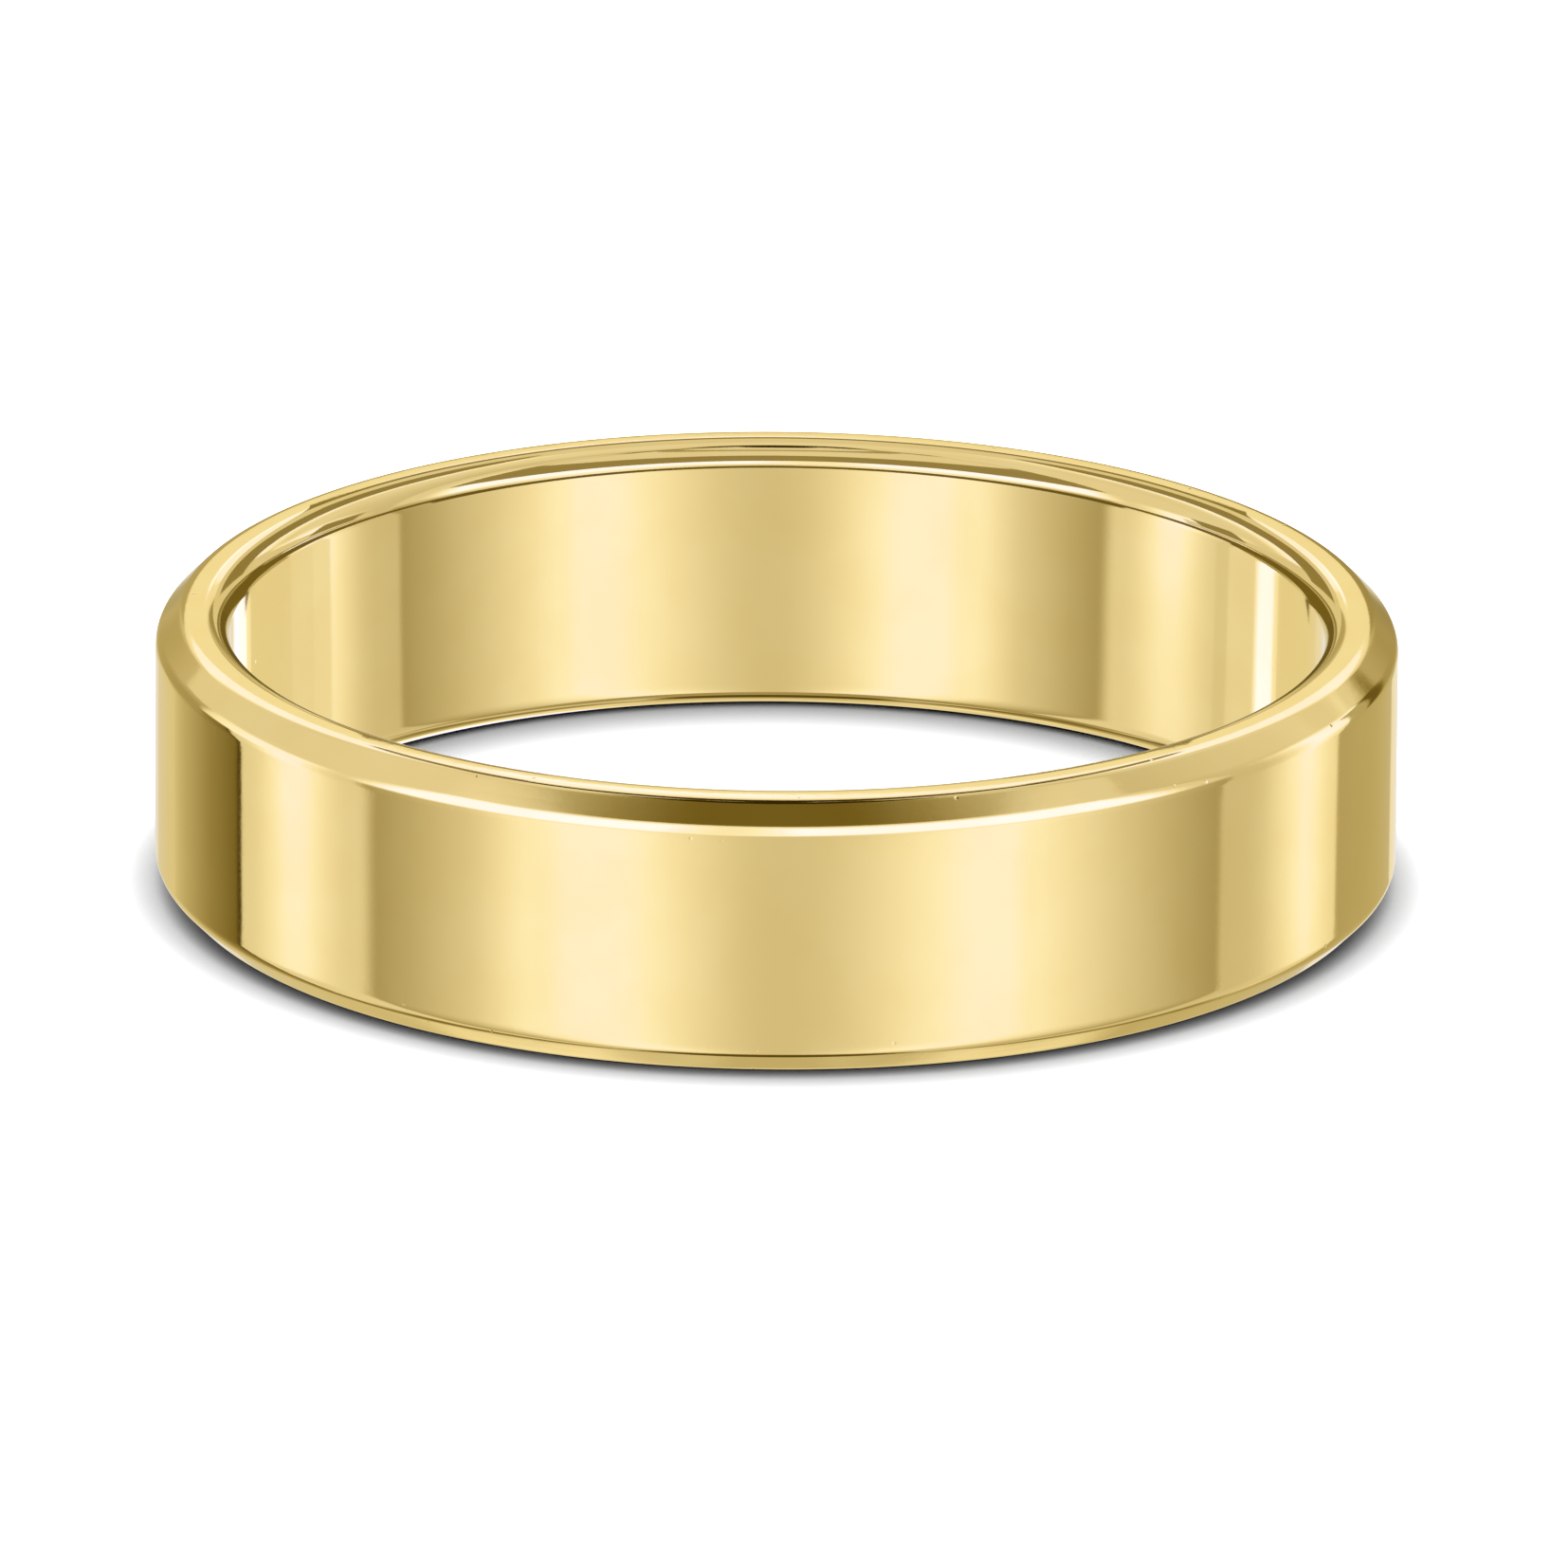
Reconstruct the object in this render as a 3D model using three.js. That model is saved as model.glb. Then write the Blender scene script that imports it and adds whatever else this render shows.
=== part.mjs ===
// A plain wedding band: one ring of polished yellow gold, with a straight outer wall,
// a bevel round each outer edge, a narrow flat rim on each side and a comfort-fit bore.
//
// Units are millimetres. +Z runs along the finger axis. The origin is the centre of
// the bore in the plane of the lower rim, so the band stands on z = 0.

import * as THREE from "three";

// ---------------------------------------------------------------- driving dimensions
const BORE_DIAMETER = 19.4;     // finger hole, across its straight part
const WALL_THICKNESS = 1.32;    // bore to outer wall
const BAND_WIDTH = 5.0;         // rim to rim, along the finger
const COMFORT_RADIUS = 0.48;    // rounding between the bore and each rim
const BEVEL_REACH = 0.47;       // how far each bevel comes in from the outer wall
const BEVEL_DROP = 0.47;        // how far each bevel comes down from its rim
const RIM_EDGE_RADIUS = 0.28;   // polished softening between a rim and its bevel
const WALL_EDGE_RADIUS = 0.36;  // polished softening between a bevel and the outer wall

// ---------------------------------------------------------------- smoothness
const TURN_SEGMENTS = 96;       // facets round the finger
const COMFORT_STEPS = 6;        // facets across one comfort rounding
const RIM_EDGE_STEPS = 3;       // facets across one softened rim edge
const WALL_EDGE_STEPS = 4;      // facets across one softened wall edge

// ---------------------------------------------------------------- finish
const YELLOW_GOLD = 0xe2c36e;
const POLISHED_ROUGHNESS = 0.12;
const FULL_METAL = 1.0;

// Points along the arc that rounds the corner between its two neighbours.
function roundedCorner({ corner, radius, steps }, before, after) {
  const toBefore = before.clone().sub(corner).normalize();
  const toAfter = after.clone().sub(corner).normalize();
  const halfAngle = Math.acos(toBefore.dot(toAfter)) / 2;
  const middle = toBefore.clone().add(toAfter).normalize();
  const centre = corner.clone().addScaledVector(middle, radius / Math.sin(halfAngle));
  const tangentLength = radius / Math.tan(halfAngle);
  const start = corner.clone().addScaledVector(toBefore, tangentLength).sub(centre);
  const turn = Math.sign(toAfter.cross(toBefore)) * (Math.PI - 2 * halfAngle);
  const points = [];
  for (let step = 0; step <= steps; step++) {
    const angle = (turn * step) / steps;
    points.push(start.clone().rotateAround(new THREE.Vector2(), angle).add(centre));
  }
  return points;
}

// The band's cross-section, (distance from the axis, height), as one closed outline.
function bandSection() {
  const boreRadius = BORE_DIAMETER / 2;
  const outerRadius = boreRadius + WALL_THICKNESS;
  const rimOuterRadius = outerRadius - BEVEL_REACH;
  const comfort = { radius: COMFORT_RADIUS, steps: COMFORT_STEPS };
  const rimEdge = { radius: RIM_EDGE_RADIUS, steps: RIM_EDGE_STEPS };
  const wallEdge = { radius: WALL_EDGE_RADIUS, steps: WALL_EDGE_STEPS };
  const corners = [
    { corner: new THREE.Vector2(boreRadius, 0), ...comfort },
    { corner: new THREE.Vector2(rimOuterRadius, 0), ...rimEdge },
    { corner: new THREE.Vector2(outerRadius, BEVEL_DROP), ...wallEdge },
    { corner: new THREE.Vector2(outerRadius, BAND_WIDTH - BEVEL_DROP), ...wallEdge },
    { corner: new THREE.Vector2(rimOuterRadius, BAND_WIDTH), ...rimEdge },
    { corner: new THREE.Vector2(boreRadius, BAND_WIDTH), ...comfort },
  ];
  const outline = corners.flatMap((item, index) => {
    const before = corners.at(index - 1).corner;
    const after = corners[(index + 1) % corners.length].corner;
    return roundedCorner(item, before, after);
  });
  outline.push(outline[0].clone());
  return outline;
}

// The ring itself: the section turned once round the finger axis.
function makeBand() {
  const geometry = new THREE.LatheGeometry(bandSection(), TURN_SEGMENTS);
  geometry.rotateX(Math.PI / 2);
  const gold = new THREE.MeshStandardMaterial({
    color: YELLOW_GOLD,
    roughness: POLISHED_ROUGHNESS,
    metalness: FULL_METAL,
  });
  const band = new THREE.Mesh(geometry, gold);
  band.name = "band";
  return band;
}

const weddingBand = new THREE.Group();
weddingBand.add(makeBand());

export default weddingBand;
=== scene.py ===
"""A polished yellow gold wedding band on a pale studio floor.

The band is one piece: a section of straight lines and rounded corners, turned once round
the finger axis. Everything is in metres, +Z along the finger axis, lower rim on z = 0.
"""

import logging
import math
from collections.abc import Callable
from dataclasses import dataclass
from enum import Enum

import bmesh
import bpy
from mathutils import Matrix, Vector


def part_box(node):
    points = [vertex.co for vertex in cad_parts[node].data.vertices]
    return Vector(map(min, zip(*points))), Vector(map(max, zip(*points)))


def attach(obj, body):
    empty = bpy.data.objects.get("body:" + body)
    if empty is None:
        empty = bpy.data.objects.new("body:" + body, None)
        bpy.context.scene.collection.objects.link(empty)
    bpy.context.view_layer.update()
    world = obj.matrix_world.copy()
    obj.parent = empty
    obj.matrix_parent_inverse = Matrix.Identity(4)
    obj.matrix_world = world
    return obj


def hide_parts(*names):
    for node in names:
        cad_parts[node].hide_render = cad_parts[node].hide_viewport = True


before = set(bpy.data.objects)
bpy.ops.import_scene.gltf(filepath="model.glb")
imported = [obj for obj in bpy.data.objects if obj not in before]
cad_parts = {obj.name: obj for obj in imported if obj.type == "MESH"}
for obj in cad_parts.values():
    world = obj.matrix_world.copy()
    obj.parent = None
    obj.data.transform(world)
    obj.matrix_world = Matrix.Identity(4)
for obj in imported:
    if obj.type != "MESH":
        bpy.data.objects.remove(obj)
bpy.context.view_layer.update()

MM = 0.001
log = logging.getLogger("wedding_band")


# ------------------------------------------------------------------------ node helpers


def clear_tree(tree: bpy.types.NodeTree) -> bpy.types.NodeTree:
    """Empties a node tree and returns it."""
    tree.nodes.clear()
    return tree


def put(tree: bpy.types.NodeTree, kind: str, inputs: dict | None = None, **settings) -> bpy.types.Node:
    """Adds a node, sets its properties and fills or links its inputs.

    Args:
        tree: the node tree that gets the node.
        kind: the node's type name.
        inputs: for each input, by name or number, a value or the socket to link from.
        **settings: the node's own properties.

    Returns:
        The new node.
    """
    node = tree.nodes.new(kind)
    for name, value in settings.items():
        setattr(node, name, value)
    for key, value in (inputs or {}).items():
        if isinstance(value, bpy.types.NodeSocket):
            tree.links.new(value, node.inputs[key])
        else:
            node.inputs[key].default_value = value
    return node


def maths(tree: bpy.types.NodeTree, operation: str, *values: object) -> bpy.types.NodeSocket:
    """One arithmetic step on numbers or sockets.

    Args:
        tree: the node tree that does the sum.
        operation: the Math node's operation.
        *values: numbers, or sockets to link from.

    Returns:
        The socket that holds the result.
    """
    node = put(tree, "ShaderNodeMath", dict(enumerate(values)), operation=operation)
    return node.outputs[0]


def ease(tree: bpy.types.NodeTree, value: object, start: object, end: object,
         first: object = 0.0, last: object = 1.0, smooth: bool = True) -> bpy.types.NodeSocket:
    """Carries a value from one range to another and stops at both ends.

    Args:
        tree: the node tree that does it.
        value: the number or socket that is read.
        start: where the change starts.
        end: where the change ends.
        first: the result up to the start.
        last: the result from the end on.
        smooth: whether the change starts and ends gently.

    Returns:
        The socket that holds the result.
    """
    node = put(tree, "ShaderNodeMapRange",
               {"Value": value, "From Min": start, "From Max": end, "To Min": first, "To Max": last},
               interpolation_type="SMOOTHSTEP" if smooth else "LINEAR")
    return node.outputs[0]


# ------------------------------------------------------------------------ the band


@dataclass
class Band:
    """The ring itself, built from the sizes of its section.

    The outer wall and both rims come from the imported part's box; the rest are the
    band's own sizes.
    """

    outer_radius: float
    width: float
    wall: float = 1.32 * MM
    comfort_radius: float = 0.48 * MM
    bevel_reach: float = 0.47 * MM
    bevel_drop: float = 0.47 * MM
    rim_edge_radius: float = 0.28 * MM
    wall_edge_radius: float = 0.36 * MM
    arc_segments: int = 22
    turn_segments: int = 384

    @classmethod
    def from_frame(cls) -> "Band":
        """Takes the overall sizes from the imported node."""
        low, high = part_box("band")
        return cls(outer_radius=high.x, width=high.z - low.z)

    def tree(self) -> tuple[bpy.types.NodeTree, dict]:
        """The geometry node tree that turns the section round the finger axis.

        Returns:
            The tree, and for each input's socket identifier the value that it takes.
        """
        tree = bpy.data.node_groups.new("turned_ring", "GeometryNodeTree")
        values = {}

        def size(name: str, kind: str, value: object) -> None:
            """Adds a named input and notes the value that the modifier gives it."""
            item = tree.interface.new_socket(name, in_out="INPUT", socket_type=kind)
            values[item.identifier] = value

        size("Bore Radius", "NodeSocketFloat", self.outer_radius - self.wall)
        size("Outer Radius", "NodeSocketFloat", self.outer_radius)
        size("Width", "NodeSocketFloat", self.width)
        size("Bevel Reach", "NodeSocketFloat", self.bevel_reach)
        size("Bevel Drop", "NodeSocketFloat", self.bevel_drop)
        size("Comfort Radius", "NodeSocketFloat", self.comfort_radius)
        size("Rim Edge Radius", "NodeSocketFloat", self.rim_edge_radius)
        size("Wall Edge Radius", "NodeSocketFloat", self.wall_edge_radius)
        size("Arc Segments", "NodeSocketInt", self.arc_segments)
        size("Turn Segments", "NodeSocketInt", self.turn_segments)
        gold = YellowGold(self.outer_radius, self.width, self.bevel_reach, self.bevel_drop)
        size("Finish", "NodeSocketMaterial", gold.material())
        tree.interface.new_socket("Ring", in_out="OUTPUT", socket_type="NodeSocketGeometry")

        given = put(tree, "NodeGroupInput").outputs
        bore, outer, width = given["Bore Radius"], given["Outer Radius"], given["Width"]
        rim_end = maths(tree, "SUBTRACT", outer, given["Bevel Reach"])
        upper_bevel_end = maths(tree, "SUBTRACT", width, given["Bevel Drop"])
        comfort, rim_edge = given["Comfort Radius"], given["Rim Edge Radius"]
        wall_edge = given["Wall Edge Radius"]
        corners = [
            (bore, 0.0, comfort),
            (rim_end, 0.0, rim_edge),
            (outer, given["Bevel Drop"], wall_edge),
            (outer, upper_bevel_end, wall_edge),
            (rim_end, width, rim_edge),
            (bore, width, comfort),
        ]
        index = put(tree, "GeometryNodeInputIndex").outputs[0]
        places = put(tree, "GeometryNodeIndexSwitch", data_type="VECTOR")
        radii = put(tree, "GeometryNodeIndexSwitch", data_type="FLOAT")
        for switch in (places, radii):
            while len(switch.index_switch_items) < len(corners):
                switch.index_switch_items.new()
            tree.links.new(index, switch.inputs["Index"])
        for number, (distance, height, radius) in enumerate(corners):
            beyond = maths(tree, "SUBTRACT", distance, outer)
            below = maths(tree, "MULTIPLY", height, -1.0)
            point = put(tree, "ShaderNodeCombineXYZ", {"X": beyond, "Y": below})
            tree.links.new(point.outputs[0], places.inputs[str(number)])
            tree.links.new(radius, radii.inputs[str(number)])

        polygon = put(tree, "GeometryNodeCurvePrimitiveCircle", {"Resolution": len(corners)})
        section = put(tree, "GeometryNodeSetPosition",
                      {"Geometry": polygon.outputs["Curve"], "Position": places.outputs[0]})
        rounded = put(tree, "GeometryNodeFilletCurve",
                      {"Curve": section.outputs[0], "Count": given["Arc Segments"],
                       "Radius": radii.outputs[0]}, mode="POLY")
        path = put(tree, "GeometryNodeCurvePrimitiveCircle",
                   {"Resolution": given["Turn Segments"], "Radius": outer})
        ring = put(tree, "GeometryNodeCurveToMesh",
                   {"Curve": path.outputs["Curve"], "Profile Curve": rounded.outputs[0]})
        outward = put(tree, "GeometryNodeFlipFaces", {"Mesh": ring.outputs[0]})
        smooth = put(tree, "GeometryNodeSetShadeSmooth", {"Geometry": outward.outputs[0]})
        real = put(tree, "GeometryNodeRealizeInstances", {"Geometry": smooth.outputs[0]})
        dressed = put(tree, "GeometryNodeSetMaterial",
                      {"Geometry": real.outputs[0], "Material": given["Finish"]})
        put(tree, "NodeGroupOutput", {"Ring": dressed.outputs[0]})
        return tree, values

    def build(self) -> bpy.types.Object:
        """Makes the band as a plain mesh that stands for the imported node."""
        source = bpy.data.objects.new("band_source", bpy.data.meshes.new("band_source"))
        bpy.context.scene.collection.objects.link(source)
        tree, values = self.tree()
        modifier = source.modifiers.new("turned_ring", "NODES")
        modifier.node_group = tree
        for identifier, value in values.items():
            modifier[identifier] = value
        depsgraph = bpy.context.evaluated_depsgraph_get()
        mesh = bpy.data.meshes.new_from_object(source.evaluated_get(depsgraph), depsgraph=depsgraph)
        mesh.name = "gold_band"
        bpy.data.objects.remove(source)
        piece = bpy.data.objects.new("gold_band", mesh)
        bpy.context.scene.collection.objects.link(piece)
        piece.visible_glossy = False
        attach(piece, "root")
        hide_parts("band")
        return piece


@dataclass(frozen=True)
class Relief:
    """An unevenness of the surface: marks per millimetre, depth in metres, finer layers."""

    scale: float
    depth: float = 0.0
    layers: float = 2.0


@dataclass(frozen=True)
class Scatter:
    """Scattered round marks: cells per millimetre, and each mark's depth in metres.

    The share is of the cells that hold a mark, and the radius is a mark's share of its cell.
    """

    scale: float
    depth: float
    share: float
    radius: float


@dataclass(frozen=True)
class YellowGold:
    """Polished yellow gold, with the light marks that polishing and handling leave.

    The band's sizes are in metres. The reaches say, in millimetres from an edge, where an
    effect begins and where it is full. The wear fields say how far each mark dulls the polish.
    """

    outer_radius: float
    width: float
    bevel_reach: float
    bevel_drop: float
    colour: tuple[float, float, float] = (1.0, 0.78, 0.33)
    deep_colour: tuple[float, float, float] = (0.985, 0.755, 0.305)
    grazing_tint: tuple[float, float, float] = (1.0, 0.92, 0.62)
    smoothest: float = 0.045
    dullest: float = 0.13
    swell: Relief = Relief(0.35, 0.0030 * MM)
    lathe_lines: Relief = Relief(1.0, 0.00012 * MM, 3.0)
    lathe_stretch: tuple[float, float, float] = (0.25, 0.25, 26.0)
    lathe_turn: float = 1.7
    grain: Relief = Relief(18.0, 0.00010 * MM)
    ripple: Relief = Relief(2.6, 0.0016 * MM, 3.0)
    shade: Relief = Relief(0.6, layers=3.0)
    pits: Scatter = Scatter(0.75, 0.005 * MM, 0.16, 0.035)
    nicks: Scatter = Scatter(2.6, 0.012 * MM, 0.55, 0.12)
    ripple_reach: tuple[float, float] = (0.6, 0.1)
    nick_reach: tuple[float, float] = (0.22, 0.04)
    edge_wear: float = 0.25
    grain_wear: float = 0.25
    shade_wear: float = 0.2
    pit_wear: float = 0.8
    nick_wear: float = 0.6

    def noise(self, tree: bpy.types.NodeTree, place: object, relief: Relief,
              stretch: tuple[float, float, float] = (1.0, 1.0, 1.0)) -> bpy.types.NodeSocket:
        """Smooth noise.

        Args:
            tree: the material's node tree.
            place: the position in millimetres.
            relief: how close the marks lie and how many finer layers they have.
            stretch: how much closer the marks lie along each axis.

        Returns:
            The socket of a value around one half.
        """
        moved = put(tree, "ShaderNodeMapping", {"Vector": place, "Scale": stretch}).outputs[0]
        inputs = {"Vector": moved, "Scale": relief.scale, "Detail": relief.layers}
        return put(tree, "ShaderNodeTexNoise", inputs).outputs[0]

    def dots(self, tree: bpy.types.NodeTree, place: object, scatter: Scatter) -> bpy.types.NodeSocket:
        """Scattered round marks.

        Args:
            tree: the material's node tree.
            place: the position in millimetres.
            scatter: how close the marks lie, how many there are and how large.

        Returns:
            The socket of a mask, 1 in the middle of each mark.
        """
        cells = put(tree, "ShaderNodeTexVoronoi", {"Vector": place, "Scale": scatter.scale})
        round_mark = ease(tree, cells.outputs["Distance"], scatter.radius, 0.0)
        pick = put(tree, "ShaderNodeSeparateXYZ", {0: cells.outputs["Color"]}).outputs[0]
        chosen = maths(tree, "LESS_THAN", pick, scatter.share)
        return maths(tree, "MULTIPLY", round_mark, chosen)

    def edge_distance(self, tree: bpy.types.NodeTree, reach: object, height: object) -> bpy.types.NodeSocket:
        """The distance in millimetres to the nearer edge of the bevel.

        Args:
            tree: the material's node tree.
            reach: the distance from the finger axis in millimetres.
            height: the height in millimetres.

        Returns:
            The socket of the distance.
        """
        middle = 0.5 * self.width / MM
        rise = maths(tree, "ABSOLUTE", maths(tree, "SUBTRACT", height, middle))
        corner = put(tree, "ShaderNodeCombineXYZ", {"X": reach, "Y": rise}).outputs[0]
        wall_edge = (self.outer_radius / MM, middle - self.bevel_drop / MM, 0.0)
        rim_edge = ((self.outer_radius - self.bevel_reach) / MM, middle, 0.0)
        gaps = [put(tree, "ShaderNodeVectorMath", {0: corner, 1: edge}, operation="DISTANCE").outputs["Value"]
                for edge in (wall_edge, rim_edge)]
        return maths(tree, "MINIMUM", *gaps)

    def material(self) -> bpy.types.Material:
        """Builds the finish as a node material."""
        material = bpy.data.materials.new("yellow_gold")
        material.use_nodes = True
        tree = clear_tree(material.node_tree)
        here = put(tree, "ShaderNodeTexCoord").outputs["Object"]
        place = put(tree, "ShaderNodeVectorMath", {0: here, "Scale": 1.0 / MM}, operation="SCALE").outputs[0]
        axes = put(tree, "ShaderNodeSeparateXYZ", {0: place}).outputs
        flat = put(tree, "ShaderNodeCombineXYZ", {"X": axes["X"], "Y": axes["Y"]}).outputs[0]
        reach = put(tree, "ShaderNodeVectorMath", {0: flat}, operation="LENGTH").outputs["Value"]
        near_edge = self.edge_distance(tree, reach, axes["Z"])
        on_edge = ease(tree, near_edge, *self.nick_reach)

        lathe = maths(tree, "MULTIPLY_ADD", reach, self.lathe_turn, axes["Z"])
        turned = {"X": axes["X"], "Y": axes["Y"], "Z": lathe}
        line_place = put(tree, "ShaderNodeCombineXYZ", turned).outputs[0]
        swell = self.noise(tree, place, self.swell)
        lines = self.noise(tree, line_place, self.lathe_lines, self.lathe_stretch)
        grain = self.noise(tree, place, self.grain)
        beside_edge = ease(tree, near_edge, *self.ripple_reach)
        ripple = maths(tree, "MULTIPLY", self.noise(tree, place, self.ripple), beside_edge)
        pits = self.dots(tree, place, self.pits)
        nicks = maths(tree, "MULTIPLY", self.dots(tree, place, self.nicks), on_edge)

        shade = self.noise(tree, place, self.shade)
        tint = put(tree, "ShaderNodeMix", {"Factor": ease(tree, shade, 0.35, 0.65)}, data_type="RGBA")
        tint.inputs["A"].default_value = (*self.colour, 1.0)
        tint.inputs["B"].default_value = (*self.deep_colour, 1.0)
        dull = ease(tree, grain, 0.4, 0.75, 0.0, self.grain_wear)
        dull = maths(tree, "ADD", dull, ease(tree, shade, 0.3, 0.8, 0.0, self.shade_wear))
        for mark, wear in ((on_edge, self.edge_wear), (pits, self.pit_wear), (nicks, self.nick_wear)):
            dull = maths(tree, "MULTIPLY_ADD", mark, wear, dull)
        roughness = ease(tree, dull, 0.0, 1.0, self.smoothest, self.dullest, False)

        height = maths(tree, "MULTIPLY", swell, self.swell.depth)
        raised = ((lines, self.lathe_lines), (grain, self.grain), (ripple, self.ripple))
        for mark, relief in raised:
            height = maths(tree, "MULTIPLY_ADD", mark, relief.depth, height)
        for mark, depth in ((pits, -self.pits.depth), (nicks, -self.nicks.depth)):
            height = maths(tree, "MULTIPLY_ADD", mark, depth, height)
        bump = put(tree, "ShaderNodeBump", {"Strength": 1.0, "Distance": 1.0, "Height": height})
        shader = put(tree, "ShaderNodeBsdfPrincipled",
                     {"Base Color": tint.outputs["Result"], "Metallic": 1.0, "Roughness": roughness,
                      "Specular Tint": (*self.grazing_tint, 1.0), "Normal": bump.outputs[0]})
        put(tree, "ShaderNodeOutputMaterial", {"Surface": shader.outputs[0]})
        return material


# ------------------------------------------------------------------------ the studio


# The grade says, tone by tone, what light makes the gold show that tone. Its first and last
# tones are 0 and 1, where a ramp's own end stops are. Light tones turn to cream, as they do
# on gold under strong light.
GRADE = (
    (0.0, (0.0, 0.0, 0.0)),
    (0.15, (0.053, 0.033, 0.001)),
    (0.31, (0.174, 0.137, 0.035)),
    (0.45, (0.314, 0.277, 0.155)),
    (0.60, (0.515, 0.489, 0.403)),
    (0.72, (0.723, 0.716, 0.713)),
    (0.82, (0.922, 0.936, 1.037)),
    (0.87, (1.0, 1.065, 1.30)),
    (0.93, (1.05, 1.15, 2.04)),
    (1.0, (1.30, 1.40, 3.3)),
)
GRADE_TOP = 3.4


def shine(tree: bpy.types.NodeTree, tone: object, one_sided: bool = False) -> None:
    """Turns a tone into light by the studio's grade and makes it the material's surface.

    Light that has met the floor is left out, so that the floor keeps its neutral shadow.

    Args:
        tree: the material's node tree.
        tone: a number or a socket, from 0 to 1.
        one_sided: whether the back of the faces lets everything through.
    """
    ramp = put(tree, "ShaderNodeValToRGB", {"Fac": tone})
    stops = ramp.color_ramp.elements
    for at, _ in GRADE[1:-1]:
        stops.new(at)
    for stop, (_, colour) in zip(stops, GRADE):
        stop.color = (*(part / GRADE_TOP for part in colour), 1.0)
    after_floor = put(tree, "ShaderNodeLightPath").outputs["Diffuse Depth"]
    strength = ease(tree, after_floor, 0.0, 1.0, GRADE_TOP, 0.0, False)
    surface = put(tree, "ShaderNodeEmission", {"Color": ramp.outputs[0], "Strength": strength}).outputs[0]
    if one_sided:
        back = put(tree, "ShaderNodeNewGeometry").outputs["Backfacing"]
        clear = put(tree, "ShaderNodeBsdfTransparent").outputs[0]
        surface = put(tree, "ShaderNodeMixShader", {0: back, 1: surface, 2: clear}).outputs[0]
    put(tree, "ShaderNodeOutputMaterial", {"Surface": surface})


def lit_material(name: str, emit: Callable[[bpy.types.NodeTree], None]) -> bpy.types.Material:
    """Makes a material that shines but is not sampled as a lamp.

    Args:
        name: the material's name.
        emit: fills the material's empty node tree.

    Returns:
        The material.
    """
    material = bpy.data.materials.new(name)
    material.use_nodes = True
    material.cycles.emission_sampling = "NONE"
    emit(clear_tree(material.node_tree))
    return material


def show_only_in_reflections(thing: bpy.types.Object) -> None:
    """Hides a studio piece from everything but glossy rays."""
    for kind in ("camera", "diffuse", "transmission", "volume_scatter", "shadow"):
        setattr(thing, "visible_" + kind, False)


@dataclass(frozen=True)
class Panel:
    """One lit or dark panel of the light tent, in degrees and in tones from 0 to 1.

    Azimuth is 0 towards the camera and grows to the camera's right; elevation is 0 level
    with the band. A panel covers what the ones before it left.
    """

    name: str
    centre: float
    half_width: float
    low: float
    high: float
    left_tone: float
    right_tone: float
    left_blur: float = 8.0
    right_blur: float = 8.0
    low_blur: float = 10.0
    high_blur: float = 10.0


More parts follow.
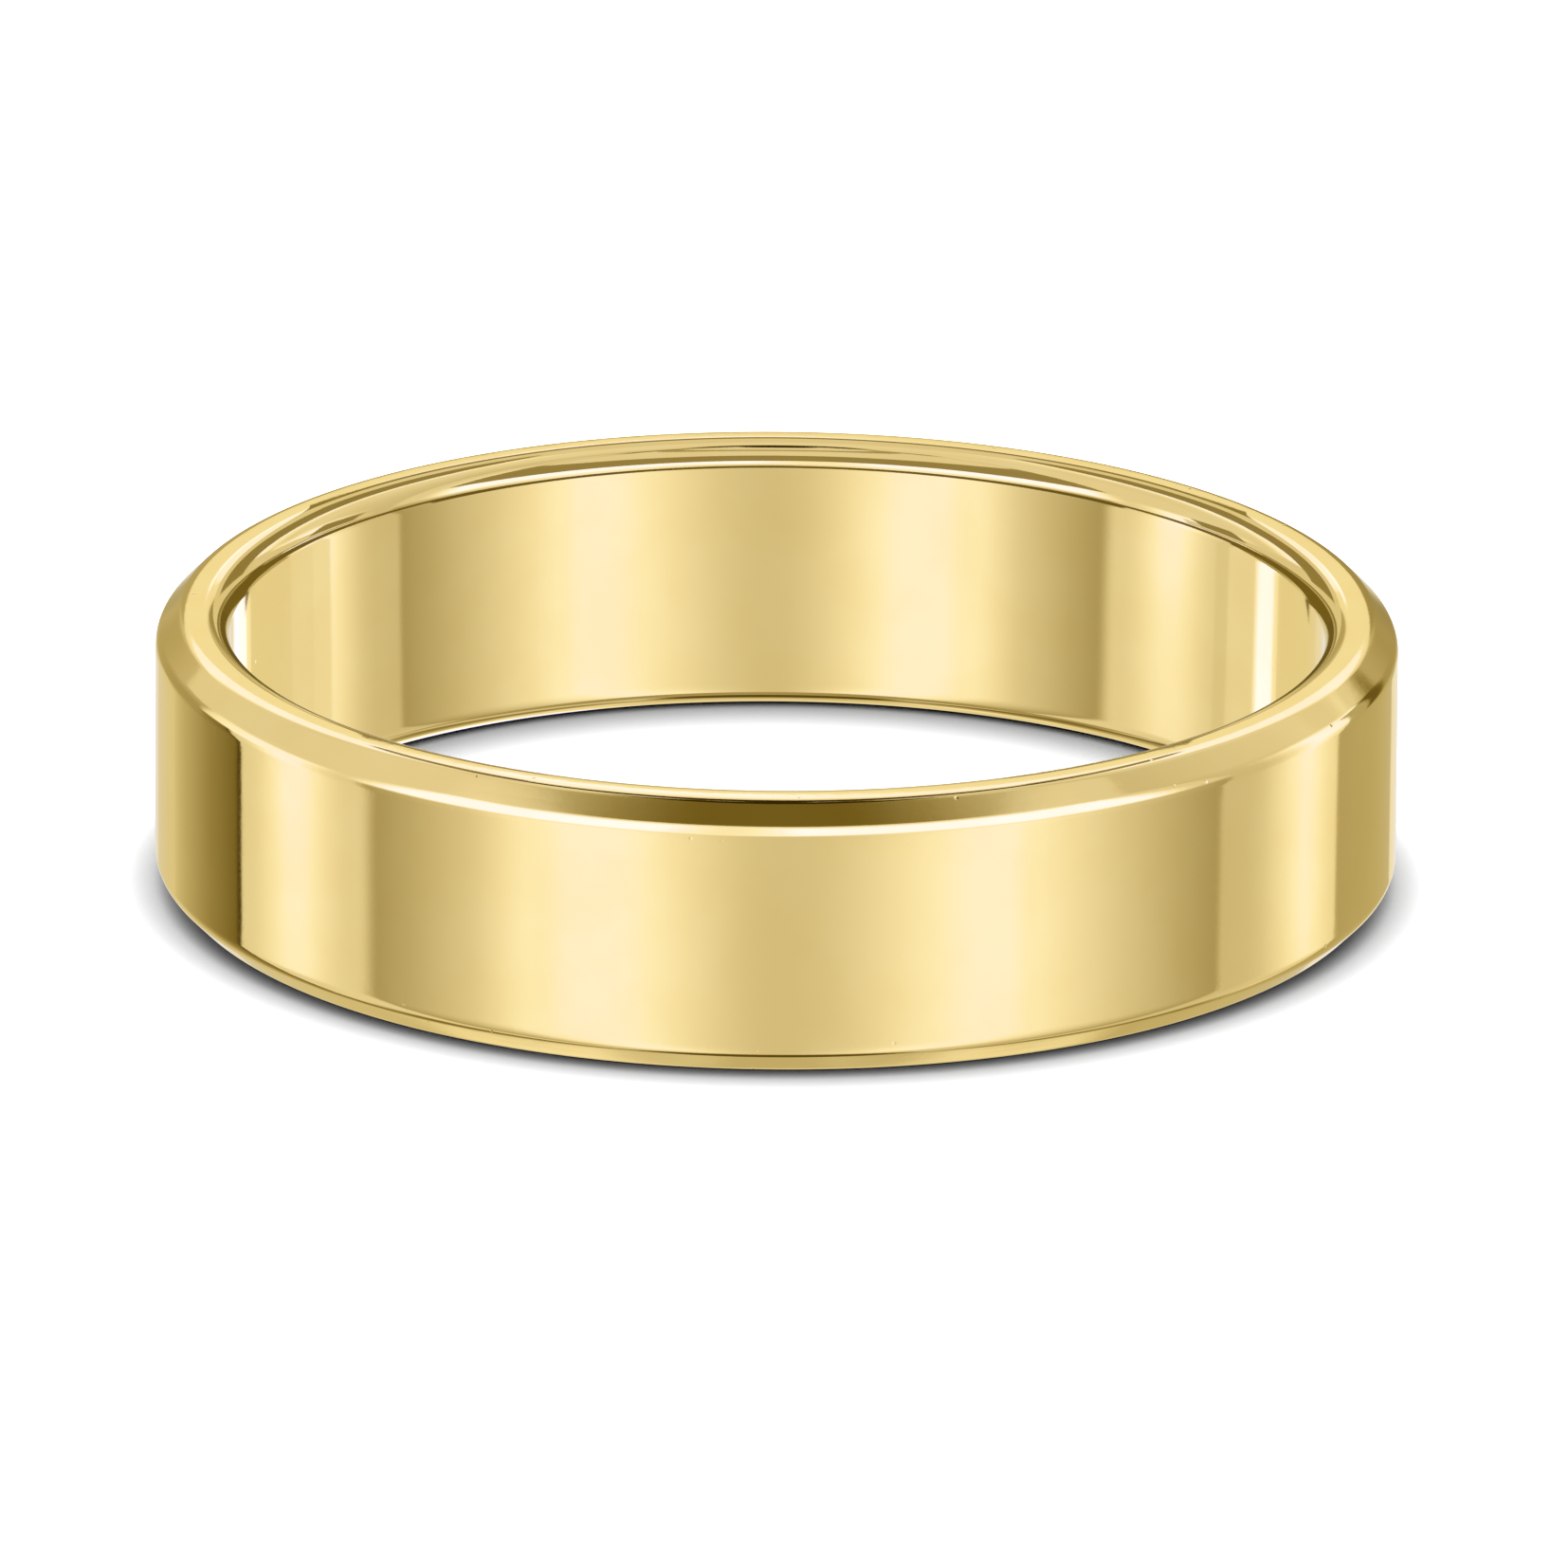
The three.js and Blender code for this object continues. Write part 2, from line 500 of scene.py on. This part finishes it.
# Each row: name, centre, half width, low, high, left tone, right tone, and the left, right,
# low and high blur.
PANELS = (
    Panel("front fill", 0, 70, -90, 8, 0.69, 0.69, 10, 10, 10, 12),
    Panel("left falling tone", -60, 18, -70, 8, 0.50, 0.86, 6, 8, 24, 12),
    Panel("front left light", -30, 16, -72, 8, 0.90, 0.90, 20, 30, 30, 12),
    Panel("front right light", 34, 14, -72, 8, 0.90, 0.90, 36, 10, 30, 12),
    Panel("right falling tone", 67.5, 22, -70, 8, 0.90, 0.51, 8, 3, 24, 12),
    Panel("left side", -95.5, 17.5, -90, 90, 0.75, 0.75, 2, 6, 10, 10),
    Panel("left softbox", -96, 8, -22, 20, 0.93, 0.93, 14, 14, 20, 8),
    Panel("left softbox end", -112, 11, 1, 20, 0.84, 0.93, 8, 8, 4, 8),
    Panel("right side", 108, 18.5, -90, 90, 0.66, 0.76, 3, 2, 10, 10),
    Panel("right softbox", 114, 8, -24, 24, 0.93, 0.93, 20, 18, 20, 10),
    Panel("right softbox end", 124, 11, -5, 20, 0.95, 0.90, 8, 2, 7, 8),
    Panel("far left", -155, 30, -90, 16, 0.75, 0.60, 4, 2, 10, 2),
    Panel("left gap", -131, 18, -70, 1, 0.74, 0.30, 4, 1.2, 30, 4),
    Panel("left gap edge", -113.7, 0.7, -64, 0, 0.16, 0.16, 1.6, 0.6, 20, 4),
    Panel("left gap foot", -108, 12, -80, -52, 0.34, 0.34, 10, 14, 10, 14),
    Panel("far left dusk", -142, 18, -10, 10, 0.58, 0.50, 8, 3, 6, 14),
    Panel("far left deep dusk", -170, 10, -10, 16.5, 0.56, 0.56, 6, 6, 6, 1.5),
    Panel("right gap", 147.5, 21.5, -90, 15, 0.555, 0.66, 1.5, 16, 10, 2),
    Panel("right gap foot", 121, 11, -74, -46, 0.42, 0.42, 12, 8, 10, 12),
    Panel("far right dusk", 150, 14, -9, 10, 0.50, 0.52, 3, 8, 6, 14),
    Panel("far right deep dusk", 169, 9, -9, 16.5, 0.48, 0.48, 6, 6, 6, 1.5),
    Panel("right gap curve", 139, 4, -9, 16, 0.24, 0.30, 2.5, 4, 5, 6),
    Panel("top front light", 0, 78, 9, 52, 0.96, 0.96, 12, 12, 10, 12),
    Panel("top front dip", -8, 8, 9, 52, 0.86, 0.86, 14, 14, 10, 12),
    Panel("dark top", 0, 56, 59, 76, 0.30, 0.30, 72, 72, 5, 3),
    Panel("far top fill", 180, 50, 26, 100, 0.76, 0.76, 20, 20, 8, 10),
    Panel("far rim fill", 180, 34, 17.0, 24, 0.815, 0.815, 16, 16, 0.8, 4),
    Panel("far rim top", 180, 42, 20.9, 58, 0.93, 0.93, 14, 14, 0.8, 12),
    Panel("rim light", -178.8, 1.8, 19.5, 22.5, 0.97, 0.97, 1.6, 1.6, 0.8, 1.5),
    Panel("far below left", -155, 9, -69, -55, 0.84, 0.84, 8, 8, 6, 6),
    Panel("far below right", 155, 9, -69, -55, 0.80, 0.80, 8, 8, 6, 6),
    Panel("far below", 180, 14, -90, -64, 0.62, 0.62, 12, 12, 6, 6),
    Panel("dark below", 0, 190, -100, -78, 0.22, 0.22, 1, 1, 1, 5),
    Panel("crease shade", 0, 82, 73, 100, 0.10, 0.10, 30, 30, 3, 1),
    Panel("dark zenith", 0, 190, 82, 100, 0.10, 0.10, 1, 1, 4, 1),
)


@dataclass
class Tent:
    """The light tent round the band, which only mirror-like surfaces see."""

    radius: float = 200 * MM
    right_of_band: float = 90 * MM
    centre_height: float = 2.5 * MM
    base_tone: float = 0.74
    subdivisions: int = 5

    def panel_group(self) -> bpy.types.NodeTree:
        """The node group that lays one panel over the tone under it."""
        group = bpy.data.node_groups.new("studio_panel", "ShaderNodeTree")
        names = ("Azimuth", "Elevation", "Under", "Centre", "Half Width", "Low", "High", "Left Tone",
                 "Right Tone", "Left Blur", "Right Blur", "Low Blur", "High Blur")
        for name in names:
            group.interface.new_socket(name, in_out="INPUT", socket_type="NodeSocketFloat")
        group.interface.new_socket("Tone", in_out="OUTPUT", socket_type="NodeSocketFloat")
        given = put(group, "NodeGroupInput").outputs

        def edge(value: object, place: object, blur: object, opens: bool) -> bpy.types.NodeSocket:
            """The mask of one edge of the panel, with a blur centred on it."""
            half = maths(group, "MULTIPLY", blur, 0.5)
            start = maths(group, "SUBTRACT", place, half)
            end = maths(group, "ADD", place, half)
            return ease(group, value, start, end, 0.0 if opens else 1.0, 1.0 if opens else 0.0)

        turned = maths(group, "SUBTRACT", given["Azimuth"], given["Centre"])
        offset = maths(group, "WRAP", turned, 180.0, -180.0)
        half_width = given["Half Width"]
        left = maths(group, "MULTIPLY", half_width, -1.0)
        cover = edge(offset, left, given["Left Blur"], True)
        for mask in (
            edge(offset, half_width, given["Right Blur"], False),
            edge(given["Elevation"], given["Low"], given["Low Blur"], True),
            edge(given["Elevation"], given["High"], given["High Blur"], False),
        ):
            cover = maths(group, "MULTIPLY", cover, mask)
        tone = ease(group, offset, left, half_width, given["Left Tone"], given["Right Tone"], False)
        change = maths(group, "SUBTRACT", tone, given["Under"])
        result = maths(group, "MULTIPLY_ADD", change, cover, given["Under"])
        put(group, "NodeGroupOutput", {"Tone": result})
        return group

    def cloth(self, tree: bpy.types.NodeTree) -> None:
        """Fills the lit cloth's node tree: all the panels, and the grade that makes them light."""
        place = put(tree, "ShaderNodeTexCoord").outputs["Object"]
        way = put(tree, "ShaderNodeVectorMath", {0: place}, operation="NORMALIZE").outputs[0]
        axes = put(tree, "ShaderNodeSeparateXYZ", {0: way}).outputs
        towards_camera = maths(tree, "MULTIPLY", axes["Y"], -1.0)
        azimuth = maths(tree, "DEGREES", maths(tree, "ARCTAN2", axes["X"], towards_camera))
        elevation = maths(tree, "DEGREES", maths(tree, "ARCSINE", axes["Z"]))
        group = self.panel_group()
        tone = self.base_tone
        for panel in PANELS:
            inputs = {
                "Azimuth": azimuth, "Elevation": elevation, "Under": tone,
                "Centre": panel.centre, "Half Width": panel.half_width, "Low": panel.low, "High": panel.high,
                "Left Tone": panel.left_tone, "Right Tone": panel.right_tone,
                "Left Blur": panel.left_blur, "Right Blur": panel.right_blur,
                "Low Blur": panel.low_blur, "High Blur": panel.high_blur,
            }
            tone = put(tree, "ShaderNodeGroup", inputs, node_tree=group, label=panel.name).outputs[0]
        shine(tree, tone)

    def build(self) -> bpy.types.Object:
        """Makes the tent as a stage piece that only glossy rays meet."""
        mesh = bpy.data.meshes.new("light_tent")
        form = bmesh.new()
        aside = Matrix.Translation((self.right_of_band, 0.0, 0.0))
        bmesh.ops.create_icosphere(form, subdivisions=self.subdivisions, radius=self.radius, matrix=aside)
        form.to_mesh(mesh)
        form.free()
        mesh.materials.append(lit_material("tent_light", self.cloth))
        tent = bpy.data.objects.new("light_tent", mesh)
        tent.location.z = self.centre_height
        bpy.context.scene.collection.objects.link(tent)
        show_only_in_reflections(tent)
        return tent


class Facing(Enum):
    """The side of a card that shows its light."""

    BOTH = "both"
    INWARD = "inward"
    OUTWARD = "outward"


def stand_card(name: str, plan: list[tuple[float, float]], low: float, high: float, tone: float,
               facing: Facing) -> bpy.types.Object:
    """Stands a card on end near the band, as a stage piece that only glossy rays meet.

    Args:
        name: the card's name.
        plan: the points of the card seen from above, in metres.
        low: the height of its lower edge.
        high: the height of its upper edge.
        tone: its tone, from 0 to 1.
        facing: the side that shows its light.

    Returns:
        The card.
    """
    vertices = [(x, y, z) for x, y in plan for z in (low, high)]
    faces = [(first, first + 1, first + 3, first + 2) for first in range(0, 2 * len(plan) - 2, 2)]
    mesh = bpy.data.meshes.new(name)
    mesh.from_pydata(vertices, [], faces)
    mesh.materials.append(lit_material(name, lambda tree: shine(tree, tone, facing is not Facing.BOTH)))
    card = bpy.data.objects.new(name, mesh)
    bpy.context.scene.collection.objects.link(card)
    show_only_in_reflections(card)
    return card


@dataclass(frozen=True)
class BoreCard:
    """A curved card that follows a circle round the finger axis.

    The centre and the half angle are in degrees, the centre from the front; the radius and
    the heights are in millimetres.
    """

    name: str
    centre: float
    half_angle: float
    radius: float
    low: float
    high: float
    tone: float
    facing: Facing = Facing.INWARD
    steps: int = 64

    def build(self) -> bpy.types.Object:
        """Makes the card."""
        half = self.half_angle if self.facing is Facing.INWARD else -self.half_angle
        start, end = self.centre - half, self.centre + half
        plan = []
        for step in range(self.steps + 1):
            angle = math.radians(start + (end - start) * step / self.steps)
            plan.append((self.radius * MM * math.sin(angle), -self.radius * MM * math.cos(angle)))
        return stand_card(self.name, plan, self.low * MM, self.high * MM, self.tone, self.facing)


@dataclass(frozen=True)
class BackCard:
    """A flat card behind the band, which the bore mirrors. Its sizes are in millimetres."""

    name: str
    left: float
    right: float
    tone: float
    behind_axis: float = 14.2
    low: float = -10.0
    high: float = 0.5

    def build(self) -> bpy.types.Object:
        """Makes the card."""
        plan = [(self.left * MM, self.behind_axis * MM), (self.right * MM, self.behind_axis * MM)]
        return stand_card(self.name, plan, self.low * MM, self.high * MM, self.tone, Facing.BOTH)


CARDS = (
    BoreCard("bore_shade_front", 0, 116, 9.4, 1.8, 5.0, 0.27),
    BoreCard("bore_shade_back", 180, 64, 9.4, 3.3, 5.0, 0.30),
    BoreCard("upper_bore_shade", 0, 120, 9.4, 12.5, 24, 0.44),
    BoreCard("upper_bore_light", 0, 120, 9.4, 24, 48, 0.74),
    BoreCard("upper_bore_line", 0, 120, 9.4, 48, 62, 0.50),
    BoreCard("upper_bore_end", 0, 120, 9.4, 62, 150, 0.73),
    BoreCard("lower_bore_shade", 180, 60, 8.4, -8, -2.4, 0.50, Facing.OUTWARD),
    BoreCard("front_crease_shade", 0, 44, 9.4, 8.0, 25, 0.11, Facing.OUTWARD),
    BoreCard("rim_shade_right", 149.5, 10.5, 11.25, 6.9, 10.0, 0.42),
    BoreCard("rim_shade_left", 210.5, 10.5, 11.25, 6.9, 10.0, 0.42),
    BoreCard("rim_card_line", 180, 48, 11.3, 5.55, 5.95, 0.40),
    BoreCard("rim_card", 180, 48, 11.3, 5.95, 8.2, 0.72),
    BackCard("back_card_far_left", -20.5, -14.5, 0.72),
    BackCard("back_card_left", -14.5, -6.8, 0.77),
    BackCard("back_card_soft_left", -6.8, -6.2, 0.88),
    BackCard("back_card_strip", -6.2, -3.1, 0.97),
    BackCard("back_card_soft_right", -3.1, -2.3, 0.85),
    BackCard("back_card_middle", -2.3, 5, 0.755),
    BackCard("back_card_right", 5, 10, 0.775),
    BackCard("back_card_far_right", 10, 16, 0.795),
)


@dataclass
class Daylight:
    """The even white light over the floor."""

    strength: float = 2.6

    def build(self) -> bpy.types.World:
        """Makes the light as the scene's world."""
        world = bpy.data.worlds.new("even_white")
        bpy.context.scene.world = world
        world.use_nodes = True
        world.cycles.sampling_method = "NONE"
        tree = clear_tree(world.node_tree)
        light = put(tree, "ShaderNodeBackground", {"Color": (1.0, 1.0, 1.0, 1.0), "Strength": self.strength})
        put(tree, "ShaderNodeOutputWorld", {"Surface": light.outputs[0]})
        bpy.context.scene.view_settings.view_transform = "Standard"
        return world


@dataclass
class Floor:
    """The pale floor that the band stands on, with a painted contact shadow: ambient occlusion darkens its
    colour close to where they touch.
    """

    half_size: float = 2.0
    colour: tuple[float, float, float] = (0.86, 0.86, 0.855)
    contact_reach: float = 1.2 * MM
    contact_samples: int = 8

    def build(self) -> bpy.types.Object:
        """Makes the floor as a stage piece that the gold does not mirror."""
        mesh = bpy.data.meshes.new("floor")
        side = self.half_size
        corners = [(-side, -side, 0.0), (side, -side, 0.0), (side, side, 0.0), (-side, side, 0.0)]
        mesh.from_pydata(corners, [], [(0, 1, 2, 3)])
        material = bpy.data.materials.new("pale_floor")
        material.use_nodes = True
        tree = clear_tree(material.node_tree)
        # Painted contact shadow: the ambient occlusion node darkens the floor's own colour near the band, on
        # top of the shade that the light casts.
        painted_shadow = put(tree, "ShaderNodeAmbientOcclusion",
                     {"Color": (*self.colour, 1.0), "Distance": self.contact_reach},
                     samples=self.contact_samples)
        cloth = put(tree, "ShaderNodeBsdfDiffuse", {"Color": painted_shadow.outputs["Color"]})
        put(tree, "ShaderNodeOutputMaterial", {"Surface": cloth.outputs[0]})
        mesh.materials.append(material)
        floor = bpy.data.objects.new("floor", mesh)
        bpy.context.scene.collection.objects.link(floor)
        floor.visible_glossy = False
        return floor


@dataclass
class Camera:
    """The view: from far off, a little above the band."""

    band_radius: float
    elevation: float = math.radians(18.34)
    roll: float = math.radians(0.432)
    distance_in_radii: float = 50.0
    aim_right_in_radii: float = 0.0130
    aim_up_in_radii: float = 0.1528
    focal_in_widths: float = 19.77
    nearest: float = 0.01
    farthest: float = 10.0

    def build(self) -> bpy.types.Object:
        """Makes the camera and sets it as the scene's own."""
        data = bpy.data.cameras.new("camera")
        data.lens = self.focal_in_widths * data.sensor_width
        data.clip_start = self.nearest
        data.clip_end = self.farthest
        camera = bpy.data.objects.new("camera", data)
        bpy.context.scene.collection.objects.link(camera)
        sine, cosine = math.sin(self.elevation), math.cos(self.elevation)
        right, up = Vector((1, 0, 0)), Vector((0, sine, cosine))
        back = Vector((0, -cosine, sine))
        aim = (right * self.aim_right_in_radii + up * self.aim_up_in_radii) * self.band_radius
        turned_right = right * math.cos(self.roll) + up * math.sin(self.roll)
        turned_up = up * math.cos(self.roll) - right * math.sin(self.roll)
        axes = Matrix((turned_right, turned_up, back)).transposed().to_4x4()
        place = aim + back * self.distance_in_radii * self.band_radius
        camera.matrix_world = Matrix.Translation(place) @ axes
        bpy.context.scene.camera = camera
        return camera


def main() -> None:
    """Builds the band, the studio and the camera in order."""
    logging.basicConfig(level=logging.INFO, format="%(name)s: %(message)s")
    band = Band.from_frame()
    piece = band.build()
    log.info("%s: %d faces", piece.name, len(piece.data.polygons))
    for part_of_studio in (Camera(band.outer_radius), Tent(), *CARDS, Daylight(), Floor()):
        made = part_of_studio.build()
        log.info("%s: built", made.name)


if __name__ == "__main__":
    main()
